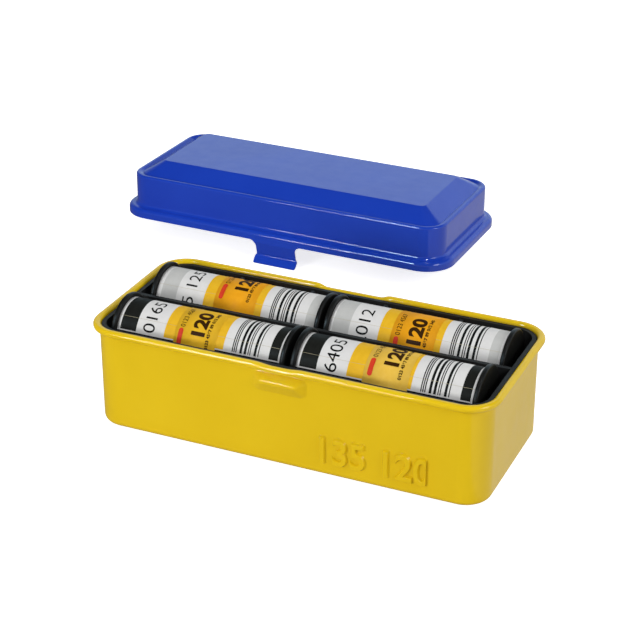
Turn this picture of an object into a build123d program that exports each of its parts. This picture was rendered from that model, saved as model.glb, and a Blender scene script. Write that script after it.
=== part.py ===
from build123d import *
from math import atan2, cos, degrees, radians, sin, tan
import os

# A pressed steel film case, open, with its lift-off lid standing on the table behind it.
# A moulded liner makes ten upright cells, and four rolls of 120 film lie across its ribs.
# Millimetres. The origin is the middle of the case's underside, +X along its length,
# +Y to the back, +Z up.

# Roll of 120 film
FILM_WIDTH = 62.9
FILM_RADIUS = 10.74
CORE_RADIUS = 5.8
FLANGE_RISE = 1.56
FLANGE_THICKNESS = 1.7
FLANGE_ROUND = 0.6
FILM_PLAY = 0.05
KEY_HOLE_RADIUS = 2.4
KEY_SLOT_LENGTH = 8.4
KEY_SLOT_WIDTH = 1.7
KEY_DEPTH = 7.0
SEAL_WIDTH = 16.0
SEAL_THICKNESS = 0.12
SEAL_PLAY = 0.02

# Liner
CELLS_PER_ROW = 5
LINER_WALL = 1.5
LINER_FLOOR = 1.2
LINER_GAP = 0.3
LINER_DROP = 1.1
DIVIDER = 1.5
RIB = 1.4
RIB_DROP = 0.6
RIB_FIN = 0.8
SADDLE_GAP = 0.3
SEAT_HEIGHT = 19.0
LAND_INNER = 2.17
LAND_OUTER = 3.9
ROLL_GAP = 2.69

# How far each roll has slid along its saddles, how far it is turned, and how far its seal is off its middle
ROLLS = {
    "front_left": (0.0, 20.0, -1.2),
    "front_right": (-0.45, 75.0, 0.65),
    "back_left": (0.1, 130.0, -0.35),
    "back_right": (-0.8, 50.0, -0.55),
}

# Case
SHEET = 0.5
CASE_HEIGHT = 38.8
CASE_CORNER = 9.5
CASE_BOTTOM_ROUND = 2.2
RIM_OVERHANG = 2.27
RIM_HEIGHT = 2.4
RIM_ROUND = 1.15
FRONT_DIP_WIDTH = 11.5
FRONT_DIP_RUN = 7.5
FRONT_DIP_DEPTH = 0.55
BACK_DIP_WIDTH = 25.0
BACK_DIP_RUN = 5.0
BACK_DIP_DEPTH = 1.1
CATCH_LENGTH = 20.0
CATCH_HEIGHT = 7.4
CATCH_CORNER = 2.6
CATCH_CREST_LENGTH = 13.0
CATCH_CREST_HEIGHT = 1.0
CATCH_CREST_CORNER = 0.45
CATCH_CREST_RISE = 0.8
CATCH_DEPTH = 2.4
CATCH_DROP = 7.2
CATCH_BASE_ROUND = 0.9
CATCH_CREST_ROUND = 0.4

# Lid
LID_GAP = 0.45
LID_LEDGE = 3.6
LID_SKIRT = 3.8
LID_SKIRT_ROUND = 1.8
LID_SHOULDER = 18.0
LID_SHOULDER_ROUND = 1.0
LID_ROOT_ROUND = 1.4
LID_RIDGE = 1.6
LID_TROUGH = 2.9
LID_VALLEY = 0.6
LID_RIDGE_ROUND = 0.6
LID_PANEL_ROUND = 1.2
LID_TOP = 22.4
LID_PANEL_INSET = 11.2
LID_PANEL_CORNER = 2.2
TAB_WIDTH = 18.2
TAB_LIP_SIDE = 0.7
TAB_DROP = 10.0
TONGUE_WIDTH = 23.0
TONGUE_DROP = 8.6
TAB_LIP_HEIGHT = 3.0
TAB_LEAN = 1.6
TAB_LIP_OUT = 1.2
TAB_ROOT = 1.0
TAB_ROOT_ROUND = 3.0
TAB_ROOT_WIDEN = 6.0
TAB_BEND = 1.2
TAB_END_ROUND = 1.5
LID_SIDEWAYS = -70.0
LID_STANDOFF = 81.03
LID_TURN = -1.1

# Edges within this distance of a plane are taken as lying in it
EDGE_TOLERANCE = 0.01

# What follows from the sizes above
spool_length = FILM_WIDTH + 2 * (FLANGE_THICKNESS + FILM_PLAY)
flange_radius = FILM_RADIUS + FLANGE_RISE
saddle_radius = FILM_RADIUS + SADDLE_GAP
inner_length = 2 * spool_length + 3 * ROLL_GAP
cell_row_width = LAND_INNER + 2 * saddle_radius + LAND_OUTER
inner_width = 2 * cell_row_width + DIVIDER
liner_length = inner_length + 2 * LINER_WALL
liner_width = inner_width + 2 * LINER_WALL
case_length = liner_length + 2 * (LINER_GAP + SHEET)
case_width = liner_width + 2 * (LINER_GAP + SHEET)
rim_length = case_length + 2 * RIM_OVERHANG
rim_width = case_width + 2 * RIM_OVERHANG
liner_corner = CASE_CORNER - SHEET - LINER_GAP
liner_bottom = SHEET
liner_floor_top = liner_bottom + LINER_FLOOR
liner_top = CASE_HEIGHT - LINER_DROP
roll_x = (spool_length + ROLL_GAP) / 2
roll_y = DIVIDER / 2 + LAND_INNER + saddle_radius
roll_z = liner_floor_top + SEAT_HEIGHT + saddle_radius
cell_pitch = (inner_length + RIB) / CELLS_PER_ROW
rim_band = RIM_OVERHANG + SHEET
bead_middle_z = CASE_HEIGHT - RIM_HEIGHT / 2
bead_inset = rim_band / 2
skirt_length = rim_length + 2 * (LID_GAP + SHEET)
skirt_width = rim_width + 2 * (LID_GAP + SHEET)
skirt_corner = CASE_CORNER + RIM_OVERHANG + LID_GAP + SHEET
lid_y = (rim_width + skirt_width) / 2 + LID_STANDOFF


os.makedirs("parts", exist_ok=True)


def rounded_outline(length, width, corner, level):
    """Level outline with rounded corners, centred on the Z axis."""
    with BuildSketch(Plane.XY.offset(level)) as outline:
        RectangleRounded(length, width, corner)
    return outline.sketch


def dip_line(half_run, width, run, depth):
    """Half of a long side of the rim, from its end at the corner to the middle of its dip."""
    start = (width + run) / 2
    end = (width - run) / 2
    arc_radius = (run**2 + depth**2) / (4 * depth)
    Line((half_run, 0), (start, 0))
    RadiusArc((start, 0), (width / 2, -depth / 2), -arc_radius)
    RadiusArc((width / 2, -depth / 2), (end, -depth), arc_radius)
    Line((end, -depth), (0, -depth))


def bead_section(plane):
    """Section through the rolled edge, on a plane whose local X runs outward."""
    with BuildSketch(plane) as section:
        RectangleRounded(rim_band, RIM_HEIGHT, RIM_ROUND)
    return section.sketch


# Case shell: drawn tray with a rolled rim, which dips at the catch and at the tongue
straight_x = rim_length / 2 - CASE_CORNER - RIM_OVERHANG
straight_y = rim_width / 2 - CASE_CORNER - RIM_OVERHANG
bead_y = rim_width / 2 - bead_inset
bead_x = rim_length / 2 - bead_inset
catch_z = CASE_HEIGHT - CATCH_DROP


def side_section_plane(end, side):
    """Plane across a long side's rolled edge, where the straight edge meets the corner."""
    section_middle = (end * straight_x, side * bead_y, bead_middle_z)
    return Plane(origin=section_middle, x_dir=(0, side, 0), z_dir=(side, 0, 0))


# The catch bar with the wall just round it, its middle at the origin and its crest to the front
with BuildPart() as catch:
    wall_front = Plane(origin=(0, 0, 0), x_dir=(1, 0, 0), z_dir=(0, -1, 0))
    with BuildSketch(wall_front):
        Rectangle(CATCH_LENGTH + 2 * CATCH_BASE_ROUND, CATCH_HEIGHT + 2 * CATCH_BASE_ROUND)
    extrude(amount=-SHEET)
    for depth, mode in ((0, Mode.ADD), (-SHEET, Mode.SUBTRACT)):
        with BuildSketch(wall_front.offset(depth)):
            RectangleRounded(CATCH_LENGTH, CATCH_HEIGHT, CATCH_CORNER)
        with BuildSketch(wall_front.offset(depth + CATCH_DEPTH)):
            with Locations((0, CATCH_CREST_RISE)):
                RectangleRounded(CATCH_CREST_LENGTH, CATCH_CREST_HEIGHT, CATCH_CREST_CORNER)
        loft(ruled=True, mode=mode)
    fillet(catch.faces().sort_by(Axis.Y)[0].edges(), CATCH_CREST_ROUND)
    wall_faces = catch.faces().filter_by(Plane.XZ)
    wall_face = wall_faces.filter_by_position(Axis.Y, -EDGE_TOLERANCE, EDGE_TOLERANCE)[0]
    fillet(wall_face.inner_wires()[0].edges(), CATCH_BASE_ROUND)

with BuildPart() as case_shell:
    extrude(rounded_outline(case_length, case_width, CASE_CORNER, 0), amount=bead_middle_z)
    fillet(case_shell.faces().sort_by(Axis.Z)[0].edges(), CASE_BOTTOM_ROUND)
    offset(amount=-SHEET, openings=case_shell.faces().sort_by(Axis.Z)[-1])
    for side, dip in (
        (-1, (FRONT_DIP_WIDTH, FRONT_DIP_RUN, FRONT_DIP_DEPTH)),
        (1, (BACK_DIP_WIDTH, BACK_DIP_RUN, BACK_DIP_DEPTH)),
    ):
        wall_middle = (0, side * bead_y, bead_middle_z)
        wall_plane = Plane(origin=wall_middle, x_dir=(1, 0, 0), z_dir=(0, -1, 0))
        with BuildLine(wall_plane) as rim_line:
            dip_line(straight_x, *dip)
            mirror(about=Plane.YZ)
        with BuildSketch(wall_plane):
            with BuildLine():
                dip_line(straight_x, *dip)
                mirror(about=Plane.YZ)
                Polyline(
                    (straight_x, 0), (straight_x, RIM_HEIGHT), (-straight_x, RIM_HEIGHT), (-straight_x, 0)
                )
            make_face()
        extrude(amount=bead_inset + SHEET, both=True, mode=Mode.SUBTRACT)
        sweep(bead_section(side_section_plane(1, side)), path=rim_line.wire())
    for end in (-1, 1):
        end_middle = (end * bead_x, 0, bead_middle_z)
        end_plane = Plane(origin=end_middle, x_dir=(end, 0, 0), z_dir=(0, -end, 0))
        extrude(bead_section(end_plane), amount=straight_y, both=True)
        for side in (-1, 1):
            corner_axis = Axis((end * straight_x, side * straight_y, 0), (0, 0, -end * side))
            revolve(bead_section(side_section_plane(end, side)), axis=corner_axis, revolution_arc=90)
    with BuildSketch(Plane(origin=(0, -case_width / 2, catch_z), x_dir=(1, 0, 0), z_dir=(0, -1, 0))):
        RectangleRounded(CATCH_LENGTH, CATCH_HEIGHT, CATCH_CORNER)
    extrude(amount=-SHEET, mode=Mode.SUBTRACT)
    with Locations((0, -case_width / 2, catch_z)):
        add(catch.part)
case_shell.part.label = "case_shell"
export_step(case_shell.part, "parts/case_shell.step")

# Liner: moulded tray with a divider, and ribs that part the cells and carry the rolls
row_y = (DIVIDER + cell_row_width) / 2
rib_top = liner_top - RIB_DROP

with BuildPart() as liner:
    liner_outline = rounded_outline(liner_length, liner_width, liner_corner, liner_bottom)
    extrude(liner_outline, amount=liner_top - liner_bottom)
    fillet(liner.faces().sort_by(Axis.Z)[0].edges(), CASE_BOTTOM_ROUND - SHEET)
    with BuildSketch(Plane.XY.offset(liner_floor_top)):
        RectangleRounded(inner_length, inner_width, liner_corner - LINER_WALL)
        Rectangle(inner_length, DIVIDER, mode=Mode.SUBTRACT)
    extrude(amount=liner_top - liner_floor_top, mode=Mode.SUBTRACT)
    for cell in range(1, CELLS_PER_ROW):
        rib_x = (cell - CELLS_PER_ROW / 2) * cell_pitch
        rib_plane = Plane(origin=(rib_x, 0, 0), x_dir=(0, 1, 0), z_dir=(1, 0, 0))
        with BuildSketch(rib_plane):
            with BuildLine():
                Polyline(
                    (0, liner_bottom + LINER_FLOOR / 2),
                    (0, roll_z),
                    (roll_y - saddle_radius, roll_z),
                )
                RadiusArc((roll_y - saddle_radius, roll_z), (roll_y + saddle_radius, roll_z), -saddle_radius)
                Polyline(
                    (roll_y + saddle_radius, roll_z),
                    (inner_width / 2 - RIB_FIN, rib_top),
                    ((inner_width + LINER_WALL) / 2, rib_top),
                    ((inner_width + LINER_WALL) / 2, liner_bottom + LINER_FLOOR / 2),
                    (0, liner_bottom + LINER_FLOOR / 2),
                )
            make_face()
            mirror(about=Plane.YZ)
        extrude(amount=RIB / 2, both=True)
liner.part.label = "liner"
export_step(liner.part, "parts/liner.step")

# Rolls of film: each is a spool, the film wound on it in its backing paper, and a paper seal
for name, (slide, turn, seal_shift) in ROLLS.items():
    along = -roll_x if "left" in name else roll_x
    across = -roll_y if "front" in name else roll_y
    roll_turn = (0, cos(radians(turn)), sin(radians(turn)))
    roll_plane = Plane(origin=(along + slide, across, roll_z), x_dir=roll_turn, z_dir=(1, 0, 0))

    with BuildPart(roll_plane) as spool:
        Cylinder(CORE_RADIUS, spool_length)
        flange_z = (spool_length - FLANGE_THICKNESS) / 2
        with Locations((0, 0, flange_z), (0, 0, -flange_z)):
            Cylinder(flange_radius, FLANGE_THICKNESS)
        flange_edges = spool.edges().filter_by(GeomType.CIRCLE)
        fillet(flange_edges.filter_by(lambda edge: edge.radius > FILM_RADIUS), FLANGE_ROUND)
        for end in (-1, 1):
            with BuildSketch(roll_plane.offset(end * spool_length / 2)):
                Circle(KEY_HOLE_RADIUS)
                SlotOverall(KEY_SLOT_LENGTH, KEY_SLOT_WIDTH)
            extrude(amount=-end * KEY_DEPTH, mode=Mode.SUBTRACT)
    spool.part.label = f"spool_{name}"
    export_step(spool.part, f"parts/spool_{name}.step")

    with BuildPart(roll_plane) as wound_film:
        Cylinder(FILM_RADIUS, FILM_WIDTH)
        Cylinder(CORE_RADIUS + FILM_PLAY, FILM_WIDTH, mode=Mode.SUBTRACT)
    wound_film.part.label = f"wound_film_{name}"
    export_step(wound_film.part, f"parts/wound_film_{name}.step")

    with BuildPart(roll_plane) as seal_band:
        with Locations((0, 0, seal_shift)):
            Cylinder(FILM_RADIUS + SEAL_PLAY + SEAL_THICKNESS, SEAL_WIDTH)
            Cylinder(FILM_RADIUS + SEAL_PLAY, SEAL_WIDTH, mode=Mode.SUBTRACT)
    seal_band.part.label = f"seal_band_{name}"
    export_step(seal_band.part, f"parts/seal_band_{name}.step")


# Lid: one pressed sheet with a ledge, a bevelled top, a catch tab in front and a tongue at the back
body_length = skirt_length - 2 * LID_LEDGE
body_width = skirt_width - 2 * LID_LEDGE
body_corner = skirt_corner - LID_LEDGE
valley_slope = atan2(LID_VALLEY, LID_TROUGH - LID_RIDGE)


def body_outline(inset, level):
    """Level outline of the lid's raised body, drawn in by the inset."""
    return rounded_outline(body_length - 2 * inset, body_width - 2 * inset, body_corner - inset, level)


def level_edges(form, level):
    """Edges of a part that lie at a level."""
    return form.edges().filter_by_position(Axis.Z, level - EDGE_TOLERANCE, level + EDGE_TOLERANCE)


def lies_inside(edge, inset):
    """True for an edge inside the skirt's outline by at least the inset."""
    middle = edge @ 0.5
    reach = inset - EDGE_TOLERANCE
    return abs(middle.X) < skirt_length / 2 - reach and abs(middle.Y) < skirt_width / 2 - reach


def lid_form(inset):
    """The lid's outside, or the space inside it when the inset is the sheet's thickness."""
    shoulder = LID_SHOULDER - inset
    valley = shoulder - LID_VALLEY
    top = LID_TOP - inset
    ridge = LID_RIDGE - inset * tan(valley_slope / 2)
    trough = LID_TROUGH - inset * tan(valley_slope / 2)
    with BuildPart() as form:
        extrude(
            rounded_outline(skirt_length - 2 * inset, skirt_width - 2 * inset, skirt_corner - inset, 0),
            amount=LID_SKIRT - inset,
        )
        fillet(form.faces().sort_by(Axis.Z)[-1].edges(), LID_SKIRT_ROUND - inset)
        ledge_edges = form.edges()
        extrude(body_outline(inset, 0), amount=shoulder)
        root = level_edges(form, LID_SKIRT - inset).filter_by(lambda edge: edge not in ledge_edges)
        fillet(root.filter_by(lambda edge: lies_inside(edge, LID_LEDGE / 2)), LID_ROOT_ROUND + inset)
        fillet(form.faces().sort_by(Axis.Z)[-1].edges(), LID_SHOULDER_ROUND - inset / 2)
        valley_outline = body_outline(trough, valley)
        loft([body_outline(ridge, shoulder), valley_outline], ruled=True, mode=Mode.SUBTRACT)
        panel_outline = rounded_outline(
            body_length - 2 * LID_PANEL_INSET, body_width - 2 * LID_PANEL_INSET, LID_PANEL_CORNER, top
        )
        loft([valley_outline, panel_outline], ruled=True)
        fillet(level_edges(form, top), LID_PANEL_ROUND)
        shoulder_edges = level_edges(form, shoulder)
        fillet(shoulder_edges.filter_by(lambda edge: lies_inside(edge, LID_LEDGE + ridge)), LID_RIDGE_ROUND)
    return form.part


def hooked_tab(side, width, drop):
    """Sheet that hangs from the skirt, leans in and turns out in a lip; side is -1 in front."""
    middle = -SHEET / 2
    crease = TAB_LIP_HEIGHT - drop
    edge_plane = Plane(origin=(0, side * skirt_width / 2, 0), x_dir=(0, side, 0), z_dir=(side, 0, 0))
    face_plane = Plane(origin=(0, side * skirt_width / 2, 0), x_dir=(1, 0, 0), z_dir=(0, -1, 0))
    with BuildPart() as tab:
        with BuildSketch(edge_plane):
            with BuildLine():
                FilletPolyline(
                    (middle, TAB_ROOT),
                    (middle, -TAB_ROOT),
                    (middle - TAB_LEAN, crease),
                    (middle + TAB_LIP_OUT, -drop),
                    radius=TAB_BEND,
                )
            trace(line_width=SHEET)
        extrude(amount=width, both=True)
        with BuildSketch(face_plane):
            with Locations((0, TAB_ROOT / 2)):
                Rectangle(width + 2 * TAB_ROOT_WIDEN, TAB_ROOT)
            with Locations((0, crease / 2)):
                Rectangle(width, -crease)
            corners = vertices().filter_by_position(Axis.X, -width / 2, width / 2)
            fillet(corners.group_by(Axis.Y)[-1], TAB_ROOT_ROUND)
            with Locations((0, crease - TAB_LIP_HEIGHT / 2)):
                RectangleRounded(width + 2 * TAB_LIP_SIDE, TAB_LIP_HEIGHT + TAB_BEND, TAB_END_ROUND)
        extrude(amount=width, both=True, mode=Mode.INTERSECT)
    return tab.part


lid_outside = lid_form(0)
lid_hollow = lid_form(SHEET)
catch_tab = hooked_tab(-1, TAB_WIDTH, TAB_DROP)
back_tongue = hooked_tab(1, TONGUE_WIDTH, TONGUE_DROP)

with BuildPart() as lid:
    add(lid_outside)
    add(lid_hollow, mode=Mode.SUBTRACT)
    add(catch_tab)
    add(back_tongue)
lowest_front = catch_tab.vertices().sort_by(Axis.Z)[0]
lowest_back = back_tongue.vertices().sort_by(Axis.Z)[0]
lid_tilt = degrees(atan2(lowest_back.Z - lowest_front.Z, lowest_back.Y - lowest_front.Y))
standing = Rotation(0, 0, LID_TURN) * Rotation(-lid_tilt, 0, 0) * lid.part
lid.part = Pos(LID_SIDEWAYS, lid_y, -standing.bounding_box().min.Z) * standing
lid.part.label = "lid"
export_step(lid.part, "parts/lid.step")
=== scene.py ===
import math
from collections import namedtuple

import bmesh
import bpy
from mathutils import Matrix, Vector
from mathutils.bvhtree import BVHTree
from mathutils.kdtree import KDTree

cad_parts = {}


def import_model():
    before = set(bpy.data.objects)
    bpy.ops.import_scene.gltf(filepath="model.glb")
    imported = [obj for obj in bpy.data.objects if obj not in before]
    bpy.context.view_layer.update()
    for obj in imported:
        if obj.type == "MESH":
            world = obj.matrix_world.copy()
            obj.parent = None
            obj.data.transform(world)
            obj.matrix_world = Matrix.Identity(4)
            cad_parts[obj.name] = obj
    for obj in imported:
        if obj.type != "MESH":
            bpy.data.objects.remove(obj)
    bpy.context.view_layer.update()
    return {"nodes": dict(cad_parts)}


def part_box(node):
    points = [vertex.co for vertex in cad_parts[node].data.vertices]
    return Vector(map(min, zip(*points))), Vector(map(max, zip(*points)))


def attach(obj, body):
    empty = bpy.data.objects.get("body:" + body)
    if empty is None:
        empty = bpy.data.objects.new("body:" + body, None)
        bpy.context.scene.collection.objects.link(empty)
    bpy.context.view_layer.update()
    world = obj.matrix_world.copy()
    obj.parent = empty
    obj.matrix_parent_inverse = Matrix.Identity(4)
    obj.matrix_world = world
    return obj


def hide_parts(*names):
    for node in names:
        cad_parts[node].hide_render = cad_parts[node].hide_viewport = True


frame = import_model()

MM = 0.001
IMAGE_SIZE = 640

# Camera, as fitted to the outlines of the case and of the rolls
CAMERA_AZIMUTH = 23.96
CAMERA_ELEVATION = 25.96
CAMERA_DISTANCE = 606.3 * MM
CAMERA_AIM = Vector((0, 0, 50 * MM))
CAMERA_FOCAL_PIXELS = 1764.3
CAMERA_CENTRE_PIXELS = (317.4, 297.3)
CAMERA_CLIP = 0.01
SENSOR = 36.0

# Printed label of a roll, in millimetres along the roll from its left end
FILM_WIDTH = 62.9
WHITE_EDGE = 1.2
LEFT_BAND_END = 7.4
YELLOW_START = 18.3
YELLOW_END = 41.3
RIGHT_BAND_START = 58.4
RIGHT_BAND_END = 61.9
# Bars of the label: start and width of each, for the labels with dark and with pale end bands
BARS = {
    "dark": (
        (44.6, 0.4),
        (45.3, 0.4),
        (46.0, 0.4),
        (47.5, 0.9),
        (49.1, 0.9),
        (50.55, 0.35),
        (51.25, 0.35),
        (52.8, 0.9),
        (54.3, 0.35),
    ),
    "pale": (
        (44.6, 0.4),
        (45.3, 0.4),
        (46.0, 0.4),
        (47.5, 0.9),
        (49.1, 0.35),
        (49.85, 0.35),
        (50.7, 0.9),
        (52.8, 0.9),
        (54.3, 0.35),
    ),
}
# Each roll's number along its white band, its end bands, its seal, how far its paper and its seal are
# turned round it in degrees, and how far its label lies along it in millimetres
Roll = namedtuple("Roll", "number ends seal paper_turn seal_turn shift")
ROLLS = {
    "front_left": Roll("40165", "dark", "seal_gold", 2.0, -19.0, 0.0),
    "front_right": Roll("16405", "dark", "seal_pale", 0.0, 0.0, 0.0),
    "back_left": Roll("5 125", "pale", "seal", 14.0, 10.0, 0.6),
    "back_right": Roll("32012", "pale", "seal", -16.0, -29.0, 0.0),
}

# Paper sleeves round the rolls; the outer wrap ends in a step
SEGMENTS = 160
SEAM_STEP = 0.07 * MM
PAPER_END = math.radians(19)
PAPER_DEPTH = 4 * MM
SEAL_JOIN = math.radians(200)
SEAL_DEPTH = 0.12 * MM

# Height of the font's figures, as a share of the font's size
FIGURE_SHARE = 0.7

# Print, a little proud of its sheet and cut into lengths that follow the roll
PRINT_LIFT = 0.02 * MM
PRINT_CUT = 0.6 * MM
CUT_TOLERANCE = 1e-7
BAR_END_STEPS = 8
FINE_FIGURES = "0123 4567 89 012 345"
# Painted light at both sides of the seal, at the same angles round every roll: a thin painted highlight
# line, a broad painted highlight below it and a painted shadow strip under that. Width in millimetres,
# where they start round the left and the right end in degrees, and their colour
LINES = {
    # thin painted highlight line high on the roll, the key lamp's reflection drawn in a pale colour
    "painted_highlight": (0.08, 48, 45, "painted_highlight"),
    # broad painted highlight low on the roll, the low front lamp's reflection drawn in white paper colour
    "painted_low_highlight": (0.45, 20, 20, "white"),
    # painted shadow strip below the low highlight, in ink colour, for the shade between the roll and the
    # liner
    "painted_shadow_strip": (0.9, 15, 15, "ink"),
}

# Plain numerals pressed out of the front wall. Their soft edge runs from a little outside their outline to
# a little inside it, their foot is sunk in the wall, and they are closed behind its face
PRESSED_TEXT = "135 120"
PRESSED_LEFT = 12.5 * MM
PRESSED_LENGTH = 40.0 * MM
PRESSED_FOOT = 5.6 * MM
PRESSED_HEIGHT = 9.6 * MM
PRESSED_WEIGHT = 0.4 * MM
PRESSED_RISE = 1.05 * MM
PRESSED_OUTER = 0.3 * MM
PRESSED_INNER = 0.35 * MM
PRESSED_STEP = 0.13 * MM
PRESSED_SIDE_MARGIN = 2 * PRESSED_OUTER
PRESSED_FOOT_MARGIN = 3 * PRESSED_OUTER
PRESSED_REACH = 1.6 * PRESSED_OUTER
PRESSED_SUNK = 0.03 * MM
PRESSED_BACK = 0.3 * MM
WALL_Y = -31.2 * MM

# Floor and room. The far side is bright in reflections, the near side and the ceiling are dim
LAMP_AIM = Vector((0, 0, 40 * MM))
FLOOR_HALF = 6.0
FLOOR_GLOW = 0.79
FLOOR_SEEN = ((250, 250, 250), (246, 246, 246))
FLOOR_BOUNCE = (214, 214, 212)
AMBIENT = 0.36
CEILING = 0.1
CEILING_START = 0.45
CEILING_FULL = 0.7
DIM_SIDE = 0.16
FAR_SIDE = 0.93
FAR_START = -0.2
FAR_FULL = 0.4
GLOSS_TINT = (0.76, 0.98, 1.1, 1)
GLARE_TINT = (0.6, 0.84, 1)
WHITE = (1, 1, 1, 1)
# Directions towards the bright side of the room and of the floor, and where the floor turns bright
BRIGHT_ROOM = Vector((0.6, 0.8, 0.0))
BRIGHT_FLOOR = Vector((0.897, 0.442, 0.0))
BRIGHT_FROM = 54 * MM
BRIGHT_BLUR = 4 * MM
BRIGHT_LEVEL = 0.62


def srgb(red, green, blue):
    """Linear colour from an 8-bit screen colour."""
    values = []
    for value in (red, green, blue):
        value /= 255
        values.append(value / 12.92 if value <= 0.04045 else ((value + 0.055) / 1.055) ** 2.4)
    return (*values, 1)


# Materials
class Nodes:
    """A material under construction: its shader, and short ways to add and link nodes."""

    def __init__(self, name):
        self.material = bpy.data.materials.new(name)
        self.material.use_nodes = True
        self.tree = self.material.node_tree
        self.shader = self.tree.nodes["Principled BSDF"]
        self.place = self.add("ShaderNodeTexCoord").outputs["Object"]

    def add(self, kind, **values):
        """Adds a node and sets its properties and sockets, with _ for a space in a socket's name."""
        node = self.tree.nodes.new(kind)
        for name, value in values.items():
            if hasattr(node, name):
                setattr(node, name, value)
            else:
                node.inputs[name.replace("_", " ")].default_value = value
        return node

    def link(self, output, target):
        self.tree.links.new(output, target)

    def noise(self, scale, detail=2.0, roughness=0.5):
        """Noise in the piece's own coordinates."""
        node = self.add("ShaderNodeTexNoise", Scale=scale, Detail=detail, Roughness=roughness)
        self.link(self.place, node.inputs["Vector"])
        return node.outputs["Fac"]

    def spread(self, factor, low, high):
        """Stretches the middle of a noise over a range of values."""
        node = self.add("ShaderNodeMapRange", From_Min=0.3, From_Max=0.7, To_Min=low, To_Max=high)
        self.link(factor, node.inputs["Value"])
        return node.outputs["Result"]

    def colours(self, factor, first, second):
        """Base colour between two 8-bit screen colours."""
        node = self.add("ShaderNodeMix", data_type="RGBA", A=srgb(*first), B=srgb(*second))
        self.link(factor, node.inputs["Factor"])
        self.link(node.outputs["Result"], self.shader.inputs["Base Color"])
        return node.outputs["Result"]

    def bumps(self, coarse, fine):
        """Two layers of bump, each given as its height, its distance and its strength."""
        layers = []
        for height, distance, strength in (coarse, fine):
            node = self.add("ShaderNodeBump", Distance=distance, Strength=strength)
            self.link(height, node.inputs["Height"])
            layers.append(node)
        self.link(layers[0].outputs["Normal"], layers[1].inputs["Normal"])
        self.link(layers[1].outputs["Normal"], self.shader.inputs["Normal"])

    def rough(self, factor, low, high):
        self.link(self.spread(factor, low, high), self.shader.inputs["Roughness"])

    def set(self, **values):
        for name, value in values.items():
            self.shader.inputs[name.replace("_", " ")].default_value = value


def enamel(name, first, second, coat, gloss, grain):
    """Glossy stoved enamel: a slow drift of colour, and the fine orange peel of sprayed paint."""
    n = Nodes(name)
    n.colours(n.spread(n.noise(28, detail=3), 0, 1), first, second)
    n.bumps((n.noise(70), 0.35 * MM, 0.25), (n.noise(900, roughness=0.6), 0.02 * MM, grain))
    n.rough(n.noise(160, detail=4), 0.34, 0.46)
    n.set(Coat_Weight=coat, Coat_Roughness=0.04, Coat_IOR=1.5, Specular_IOR_Level=gloss)
    return n.material


def moulded_plastic(name, colour, lighter, smoothest, roughest, grain, gloss):
    """Injection moulded plastic with a fine spark-eroded grain."""
    n = Nodes(name)
    n.colours(n.spread(n.noise(60, detail=4), 0, 1), colour, lighter)
    grit = n.add("ShaderNodeBump", Distance=0.03 * MM, Strength=grain)
    n.link(n.noise(2600, detail=3, roughness=0.7), grit.inputs["Height"])
    n.link(grit.outputs["Normal"], n.shader.inputs["Normal"])
    n.rough(n.noise(220, detail=3), smoothest, roughest)
    n.set(Specular_IOR_Level=gloss)
    return n.material


def printed_paper(name, darker, colour):
    """Backing paper with faint fibres and almost no sheen."""
    n = Nodes(name)
    n.colours(n.spread(n.noise(420, detail=5, roughness=0.65), 0, 1), darker, colour)
    n.bumps((n.noise(90), 0.2 * MM, 0.15), (n.noise(1500, detail=4, roughness=0.7), 0.02 * MM, 0.35))
    n.rough(n.noise(300, detail=3), 0.45, 0.6)
    n.set(Coat_Weight=0.02, Coat_Roughness=0.3, Specular_IOR_Level=0.05)
    return n.material


yellow_enamel = enamel("yellow_enamel", (234, 198, 25), (229, 192, 20), coat=0.75, gloss=0.02, grain=1.0)
blue_enamel = enamel("blue_enamel", (27, 66, 190), (23, 61, 183), coat=0.9, gloss=0.05, grain=0.7)
black_moulding = moulded_plastic(
    "black_moulding", (30, 30, 30), (38, 38, 38), smoothest=0.42, roughest=0.55, grain=0.5, gloss=0.25
)
spool_moulding = moulded_plastic(
    "spool_moulding", (20, 20, 19), (26, 26, 25), smoothest=0.3, roughest=0.4, grain=0.2, gloss=0.15
)
papers = {
    "white": printed_paper("paper_white", (217, 217, 217), (223, 223, 222)),
    # pale colour of the painted highlight line round the rolls
    "painted_highlight": printed_paper("paper_painted_highlight", (178, 170, 142), (186, 178, 150)),
    "ink": printed_paper("paper_ink", (22, 22, 22), (28, 28, 28)),
    "dark": printed_paper("paper_black_band", (26, 27, 25), (32, 33, 30)),
    "pale": printed_paper("paper_grey_band", (189, 190, 189), (196, 197, 195)),
    "yellow": printed_paper("paper_yellow", (227, 177, 34), (234, 186, 44)),
    "seal": printed_paper("seal_orange", (234, 160, 24), (240, 170, 32)),
    "seal_gold": printed_paper("seal_gold", (227, 178, 36), (234, 186, 46)),
    "seal_pale": printed_paper("seal_pale_orange", (233, 188, 70), (238, 197, 84)),
    "print": printed_paper("print_brown_black", (52, 30, 4), (62, 38, 6)),
    "red": printed_paper("print_red", (204, 56, 32), (214, 66, 40)),
}


# CAD nodes that keep their own shape
def dress(node, material):
    """Gives a node of the frame its material."""
    part = frame["nodes"][node]
    part.data.materials.clear()
    part.data.materials.append(material)


dress("case_shell", yellow_enamel)
dress("lid", blue_enamel)
dress("liner", black_moulding)
for roll in ROLLS:
    dress(f"spool_{roll}", spool_moulding)


# Meshes and pieces
def finished_mesh(name, work):
    """Mesh from a bmesh, which is freed."""
    mesh = bpy.data.meshes.new(name)
    work.to_mesh(mesh)
    work.free()
    return mesh


def new_piece(name, mesh, materials, body):
    """Adds a mesh to the scene with its materials, and rides it on a body."""
    for material in materials:
        mesh.materials.append(material)
    piece = bpy.data.objects.new(name, mesh)
    bpy.context.scene.collection.objects.link(piece)
    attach(piece, body)
    return piece


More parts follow.
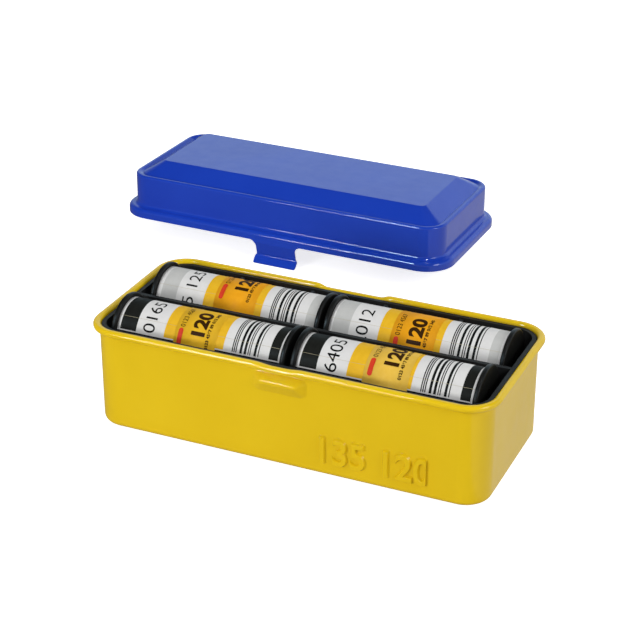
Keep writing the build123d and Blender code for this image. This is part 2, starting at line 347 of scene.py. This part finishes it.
def number_mesh(text, height, weight=0.0, stretch=1.0):
    """Flat outline of plain numerals, their lower edge on the X axis and reading along +X."""
    name = "numerals"
    curve = bpy.data.curves.new(name, "FONT")
    curve.body = text
    curve.size = height / FIGURE_SHARE
    curve.offset = weight
    curve.fill_mode = "FRONT"
    holder = bpy.data.objects.new(name, curve)
    bpy.context.scene.collection.objects.link(holder)
    bpy.context.view_layer.update()
    mesh = bpy.data.meshes.new_from_object(holder.evaluated_get(bpy.context.evaluated_depsgraph_get()))
    bpy.data.objects.remove(holder)
    bpy.data.curves.remove(curve)
    mesh.transform(Matrix.Diagonal((stretch, 1, 1, 1)))
    return mesh


def flat_mesh(name, points):
    """Flat mesh of one face."""
    work = bmesh.new()
    work.faces.new([work.verts.new((x, y, 0)) for x, y in points])
    return finished_mesh(name, work)


def strip_mesh(width, length):
    """Flat strip as wide as its first measure along +X, and as long as its second along +Y."""
    return flat_mesh("strip", ((0, 0), (width, 0), (width, length), (0, length)))


def bar_mesh(length, height):
    """Flat bar with rounded ends, reading along +X."""
    half = height / 2
    points = []
    for middle, first_angle in ((length - half, -math.pi / 2), (half, math.pi / 2)):
        for step in range(BAR_END_STEPS + 1):
            angle = first_angle + math.pi * step / BAR_END_STEPS
            points.append((middle + half * math.cos(angle), half + half * math.sin(angle)))
    return flat_mesh("bar", points)


# Wound film, its seal and its print
def roll_point(centre, along, radius, angle):
    """Point of a roll, from its place along it in millimetres and its angle up from the front."""
    return Vector(
        (
            centre.x + (along - FILM_WIDTH / 2) * MM,
            centre.y - radius * math.cos(angle),
            centre.z + radius * math.sin(angle),
        )
    )


def sleeve(name, centre, radius, bands, slots, seam, depth):
    """Paper sleeve with a ring of faces for each band, which grows a step thinner from its seam round."""
    work = bmesh.new()
    pairs = [(step, (step + 1) % SEGMENTS) for step in range(SEGMENTS)]

    def ring(along, inset, thinning):
        return [
            work.verts.new(
                roll_point(
                    centre,
                    along,
                    radius - inset - thinning * step / SEGMENTS,
                    seam + 2 * math.pi * step / SEGMENTS,
                )
            )
            for step in range(SEGMENTS)
        ]

    edges = sorted({edge for start, end, _ in bands for edge in (start, end)})
    rows = [ring(along, 0, SEAM_STEP) for along in edges]
    for left, right, (_, _, kind) in zip(rows, rows[1:], bands):
        for step, after in pairs:
            face = work.faces.new((left[step], right[step], right[after], left[after]))
            face.material_index = slots.index(kind)
            face.smooth = after != 0
    lips = [ring(along, depth, 0) for along in (edges[0], edges[-1])]
    for row, lip in zip((rows[0], rows[-1]), lips):
        for step, after in pairs:
            work.faces.new((row[step], row[after], lip[after], lip[step]))
    for step, after in pairs:
        work.faces.new((lips[0][step], lips[0][after], lips[1][after], lips[1][step]))
    bmesh.ops.recalc_face_normals(work, faces=work.faces)
    return finished_mesh(name, work)


def wrap_print(mesh, centre, radius, baseline, start_angle):
    """Bends flat print round a roll: it reads up and over the roll, its lower edge to the right."""
    work = bmesh.new()
    work.from_mesh(mesh)
    reach = max(vertex.co.x for vertex in work.verts)
    cut = PRINT_CUT
    while cut < reach:
        bmesh.ops.bisect_plane(
            work,
            geom=work.verts[:] + work.edges[:] + work.faces[:],
            plane_co=(cut, 0, 0),
            plane_no=(1, 0, 0),
            dist=CUT_TOLERANCE,
        )
        cut += PRINT_CUT
    for vertex in work.verts:
        angle = start_angle + vertex.co.x / radius
        vertex.co = roll_point(centre, baseline - vertex.co.y / MM, radius, angle)
    bmesh.ops.recalc_face_normals(work, faces=work.faces)
    for face in work.faces:
        face.smooth = True
    work.to_mesh(mesh)
    work.free()


def label_bands(ends, shift):
    """The label's bands from left to right, as start, end and colour."""
    bands = [
        (WHITE_EDGE, LEFT_BAND_END, ends),
        (LEFT_BAND_END, YELLOW_START, "white"),
        (YELLOW_START, YELLOW_END, "yellow"),
    ]
    reached = YELLOW_END
    for start, width in BARS[ends]:
        bands += [(reached, start, "white"), (start, start + width, "ink")]
        reached = start + width
    bands += [(reached, RIGHT_BAND_START, "white"), (RIGHT_BAND_START, RIGHT_BAND_END, ends)]
    shifted = [(start + shift, end + shift, kind) for start, end, kind in bands]
    return [(0.0, shifted[0][0], "white"), *shifted, (shifted[-1][1], FILM_WIDTH, "white")]


# A print's flat shape, the sheet that carries it, its lower edge along that sheet in millimetres, where it
# starts round the roll in degrees, and its colour
Mark = namedtuple("Mark", "name mesh sheet baseline angle colour")


def roll_marks(number, seal_start, seal_end):
    """Prints of one roll, and the painted highlight and shadow lines at both sides of its seal."""
    format_number = number_mesh("120", 4.8 * MM, weight=0.3 * MM, stretch=1.15)
    fine_number = number_mesh(FINE_FIGURES, 1.1 * MM, weight=0.06 * MM, stretch=1.1)
    marks = [
        Mark("large_number", number_mesh(number, 4.5 * MM, stretch=1.15), "paper", 14.4, 2, "ink"),
        Mark("format_number", format_number, "seal", 11.0, 50, "print"),
        Mark("red_bar", bar_mesh(6.6 * MM, 1.7 * MM), "seal", 3.0, 31, "red"),
        Mark("brown_number", number_mesh("0123 4567", 1.7 * MM, stretch=0.95), "seal", 3.1, 68, "print"),
        Mark("fine_number", fine_number, "seal", 13.2, 34, "print"),
    ]
    for line, (width, left_angle, right_angle, colour) in LINES.items():
        for side, length, end, angle in (
            ("left", seal_start, seal_start, left_angle),
            ("right", FILM_WIDTH - seal_end, FILM_WIDTH, right_angle),
        ):
            strip = strip_mesh(width * MM, length * MM)
            marks.append(Mark(f"{side}_{line}", strip, "edge", end, angle, colour))
    return marks


def dress_roll(roll, style):
    """Printed paper, seal and prints of one roll."""
    body = f"roll_{roll}"
    low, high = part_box(f"wound_film_{roll}")
    centre = (Vector(low) + Vector(high)) / 2
    radius = (high[2] - low[2]) / 2
    slots = ["white", "ink", "yellow", style.ends]
    bands = label_bands(style.ends, style.shift)
    name = f"printed_paper_{roll}"
    paper_mesh = sleeve(name, centre, radius, bands, slots, PAPER_END, PAPER_DEPTH)
    paper = new_piece(name, paper_mesh, [papers[kind] for kind in slots], body)
    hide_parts(f"wound_film_{roll}")

    seal_low, seal_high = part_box(f"seal_band_{roll}")
    seal_radius = (seal_high[2] - seal_low[2]) / 2
    seal_start = (seal_low[0] - low[0]) / MM
    seal_end = (seal_high[0] - low[0]) / MM
    seal_bands = [(seal_start, seal_end, style.seal)]
    name = f"paper_seal_{roll}"
    seal_mesh = sleeve(name, centre, seal_radius, seal_bands, [style.seal], SEAL_JOIN, SEAL_DEPTH)
    seal = new_piece(name, seal_mesh, [papers[style.seal]], body)
    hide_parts(f"seal_band_{roll}")

    # Each sheet's radius, how far it is turned, how far along the roll its print is counted from, and its
    # slot. The edge sheet carries the painted highlight and shadow lines, unturned, at the same angles on
    # every roll
    sheets = {
        "paper": (radius, style.paper_turn, style.shift, "film_paper"),
        "edge": (radius + PRINT_LIFT, 0, 0, "film_paper"),
        "seal": (seal_radius, style.seal_turn, seal_start, "seal_paper"),
    }
    for mark in roll_marks(style.number, seal_start, seal_end):
        sheet_radius, turn, start, slot_name = sheets[mark.sheet]
        angle = math.radians(mark.angle + turn)
        wrap_print(mark.mesh, centre, sheet_radius + PRINT_LIFT, mark.baseline + start, angle)
        mark.mesh.name = f"{mark.name}_{roll}"
        new_piece(f"{mark.name}_{roll}", mark.mesh, [papers[mark.colour]], body)


for roll, style in ROLLS.items():
    dress_roll(roll, style)


# Pressed numerals
def outline_points(mesh, step):
    """Points along the outline of a flat mesh, closely spaced."""
    work = bmesh.new()
    work.from_mesh(mesh)
    points = []
    for edge in work.edges:
        if edge.is_boundary:
            start, end = (vertex.co for vertex in edge.verts)
            count = max(1, math.ceil((end - start).length / step))
            points += [start.lerp(end, index / count) for index in range(count)]
    work.free()
    return points


def depth_inside(mesh):
    """Function that gives how far a point lies inside a flat mesh, less than 0 outside it."""
    points = outline_points(mesh, PRESSED_STEP / 2)
    tree = KDTree(len(points))
    for index, point in enumerate(points):
        tree.insert(point, index)
    tree.balance()
    filled = bmesh.new()
    filled.from_mesh(mesh)
    surface = BVHTree.FromBMesh(filled)
    filled.free()
    up = Vector((0, 0, 1))

    def depth(spot):
        gap = tree.find(spot)[2]
        return -gap if surface.ray_cast(spot + up, -up)[0] is None else gap

    return depth


def ease(value):
    """Smooth rise from 0 to 1."""
    value = min(max(value, 0.0), 1.0)
    return value * value * (3 - 2 * value)


def pressed_numerals():
    """Relief whose soft edges rise through the wall, closed behind it."""
    flat = number_mesh(PRESSED_TEXT, PRESSED_HEIGHT, PRESSED_WEIGHT)
    length = max(vertex.co.x for vertex in flat.vertices) - min(vertex.co.x for vertex in flat.vertices)
    flat.transform(Matrix.Diagonal((PRESSED_LENGTH / length, 1, 1, 1)))
    depth = depth_inside(flat)
    work = bmesh.new()
    grid = {}
    columns = math.ceil((PRESSED_LENGTH + 2 * PRESSED_SIDE_MARGIN) / PRESSED_STEP)
    lines = math.ceil((PRESSED_HEIGHT + 2 * PRESSED_FOOT_MARGIN) / PRESSED_STEP)
    for column in range(columns):
        for line in range(lines):
            across = column * PRESSED_STEP - PRESSED_SIDE_MARGIN
            up = line * PRESSED_STEP - PRESSED_FOOT_MARGIN
            gap = depth(Vector((across, up, 0)))
            if gap > -PRESSED_REACH:
                rise = PRESSED_RISE * ease((gap + PRESSED_OUTER) / (PRESSED_OUTER + PRESSED_INNER))
                place = (PRESSED_LEFT + across, WALL_Y + PRESSED_SUNK - rise, PRESSED_FOOT + up)
                grid[column, line] = work.verts.new(place)
    for column, line in grid:
        corners = [(column, line), (column + 1, line), (column + 1, line + 1), (column, line + 1)]
        if all(corner in grid for corner in corners):
            work.faces.new([grid[corner] for corner in corners])
    loose = [vertex for vertex in work.verts if not vertex.link_faces]
    bmesh.ops.delete(work, geom=loose, context="VERTS")
    back = bmesh.ops.extrude_face_region(work, geom=list(work.faces))["geom"]
    for item in back:
        if isinstance(item, bmesh.types.BMVert):
            item.co.y = WALL_Y + PRESSED_BACK
    bmesh.ops.recalc_face_normals(work, faces=work.faces)
    for face in work.faces:
        face.smooth = True
    mesh = finished_mesh("pressed_numerals", work)
    new_piece("pressed_numerals", mesh, [yellow_enamel], "case")


pressed_numerals()


# Camera, on the same kind of stand as the lamps
def stand(holder, target, azimuth, elevation, distance):
    """Adds a camera or lamp to the scene, at two angles in degrees from its target, and faces it there."""
    turn, rise = math.radians(azimuth), math.radians(elevation)
    away = Vector((math.sin(turn) * math.cos(rise), -math.cos(turn) * math.cos(rise), math.sin(rise)))
    bpy.context.scene.collection.objects.link(holder)
    holder.location = target + away * distance
    holder.rotation_mode = "QUATERNION"
    holder.rotation_quaternion = (-away).to_track_quat("-Z", "Y")


camera_data = bpy.data.cameras.new("camera")
camera_data.sensor_width = SENSOR
camera_data.lens = CAMERA_FOCAL_PIXELS * SENSOR / IMAGE_SIZE
camera_data.shift_x = (IMAGE_SIZE / 2 - CAMERA_CENTRE_PIXELS[0]) / IMAGE_SIZE
camera_data.shift_y = (CAMERA_CENTRE_PIXELS[1] - IMAGE_SIZE / 2) / IMAGE_SIZE
camera_data.clip_start = CAMERA_CLIP
camera = bpy.data.objects.new("camera", camera_data)
stand(camera, CAMERA_AIM, CAMERA_AZIMUTH, CAMERA_ELEVATION, CAMERA_DISTANCE)
bpy.context.scene.camera = camera


# Floor, lamps and world
def ramp(tree, value, low, high, to_low, to_high):
    """Smooth ramp between two levels of a value."""
    node = tree.nodes.new("ShaderNodeMapRange")
    node.interpolation_type = "SMOOTHSTEP"
    for name, level in (("From Min", low), ("From Max", high), ("To Min", to_low), ("To Max", to_high)):
        node.inputs[name].default_value = level
    tree.links.new(value, node.inputs["Value"])
    return node.outputs["Result"]


def along_side(tree, vector, side):
    """How far a point or direction lies towards a side of the room."""
    node = tree.nodes.new("ShaderNodeVectorMath")
    node.operation = "DOT_PRODUCT"
    node.inputs[1].default_value = side
    tree.links.new(vector, node.inputs[0])
    return node.outputs["Value"]


def pick(tree, factor, plain, chosen):
    """Value of one kind of ray where the factor is 1, and the plain value elsewhere."""
    node = tree.nodes.new("ShaderNodeMix")
    tree.links.new(factor, node.inputs["Factor"])
    for socket, value in (("A", plain), ("B", chosen)):
        if isinstance(value, float):
            node.inputs[socket].default_value = value
        else:
            tree.links.new(value, node.inputs[socket])
    return node.outputs["Result"]


def stage_floor():
    """Pale floor: white to the camera with a faint shadow, dimmer in reflections on its near side."""
    work = bmesh.new()
    bmesh.ops.create_grid(work, x_segments=1, y_segments=1, size=FLOOR_HALF)
    mesh = finished_mesh("floor", work)
    floor = bpy.data.objects.new("floor", mesh)
    bpy.context.scene.collection.objects.link(floor)
    n = Nodes("pale_floor")
    path = n.add("ShaderNodeLightPath")
    seen = n.colours(n.spread(n.noise(3), 0, 1), *FLOOR_SEEN)
    bounce = n.add("ShaderNodeMix", data_type="RGBA", A=srgb(*FLOOR_BOUNCE))
    n.link(path.outputs["Is Camera Ray"], bounce.inputs["Factor"])
    n.link(seen, bounce.inputs["B"])
    n.link(bounce.outputs["Result"], n.shader.inputs["Base Color"])
    n.set(Roughness=0.9, Specular_IOR_Level=0.0)
    across = along_side(n.tree, n.place, BRIGHT_FLOOR)
    start, end = BRIGHT_FROM - BRIGHT_BLUR, BRIGHT_FROM + BRIGHT_BLUR
    side = ramp(n.tree, across, start, end, DIM_SIDE, BRIGHT_LEVEL)
    glossy = pick(n.tree, path.outputs["Is Glossy Ray"], 0.0, side)
    glow = n.add("ShaderNodeEmission", Color=WHITE)
    n.link(pick(n.tree, path.outputs["Is Camera Ray"], glossy, FLOOR_GLOW), glow.inputs["Strength"])
    lit = n.add("ShaderNodeMixShader")
    n.link(path.outputs["Is Glossy Ray"], lit.inputs["Fac"])
    n.link(n.shader.outputs["BSDF"], lit.inputs[1])
    both = n.add("ShaderNodeAddShader")
    n.link(lit.outputs["Shader"], both.inputs[0])
    n.link(glow.outputs["Emission"], both.inputs[1])
    n.link(both.outputs["Shader"], n.tree.nodes["Material Output"].inputs["Surface"])
    mesh.materials.append(n.material)


def lamp(name, size, power, azimuth, elevation, distance, lights=True, shows=True, colour=(1, 1, 1)):
    """Softbox with its size in metres and power in watts; it lights surfaces, shows in gloss, or both."""
    data = bpy.data.lights.new(name, "AREA")
    data.shape = "RECTANGLE"
    data.size, data.size_y = size
    data.energy = power
    data.color = colour
    holder = bpy.data.objects.new(name, data)
    stand(holder, LAMP_AIM, azimuth, elevation, distance)
    holder.visible_diffuse = lights
    holder.visible_glossy = shows


def world():
    """Room with a white far side, and a dim ceiling and near side that show only in reflections."""
    room = bpy.data.worlds.new("room")
    room.use_nodes = True
    bpy.context.scene.world = room
    tree = room.node_tree
    background = tree.nodes["Background"]
    path = tree.nodes.new("ShaderNodeLightPath")
    tint = tree.nodes.new("ShaderNodeMix")
    tint.data_type = "RGBA"
    tint.inputs["A"].default_value = WHITE
    tint.inputs["B"].default_value = GLOSS_TINT
    tree.links.new(path.outputs["Is Glossy Ray"], tint.inputs["Factor"])
    tree.links.new(tint.outputs["Result"], background.inputs["Color"])
    direction = tree.nodes.new("ShaderNodeTexCoord").outputs["Generated"]
    split = tree.nodes.new("ShaderNodeSeparateXYZ")
    tree.links.new(direction, split.inputs["Vector"])
    upper = ramp(tree, split.outputs["Z"], CEILING_START, CEILING_FULL, 1.0, CEILING)
    near = ramp(tree, along_side(tree, direction, BRIGHT_ROOM), FAR_START, FAR_FULL, DIM_SIDE, FAR_SIDE)
    both = tree.nodes.new("ShaderNodeMath")
    both.operation = "MULTIPLY"
    tree.links.new(upper, both.inputs[0])
    tree.links.new(near, both.inputs[1])
    level = pick(tree, path.outputs["Is Glossy Ray"], AMBIENT, both.outputs["Value"])
    tree.links.new(pick(tree, path.outputs["Is Camera Ray"], level, 1.0), background.inputs["Strength"])


stage_floor()
world()
lamp("key", (0.17, 0.17), 0.85, azimuth=-33.5, elevation=30, distance=0.8, shows=False)
lamp(
    "key_glare", (0.12, 0.2), 2.5, azimuth=-29, elevation=36, distance=0.8, lights=False, colour=GLARE_TINT
)
lamp("low_front", (0.3, 0.12), 2.7, azimuth=-24, elevation=12, distance=0.9)
lamp("top", (0.045, 0.045), 1.25, azimuth=62, elevation=80, distance=0.8)
lamp("right", (0.4, 0.3), 2.4, azimuth=75, elevation=30, distance=0.9)
lamp("back", (0.5, 0.3), 1.6, azimuth=172, elevation=14, distance=0.9, shows=False)

bpy.context.scene.view_settings.view_transform = "Standard"
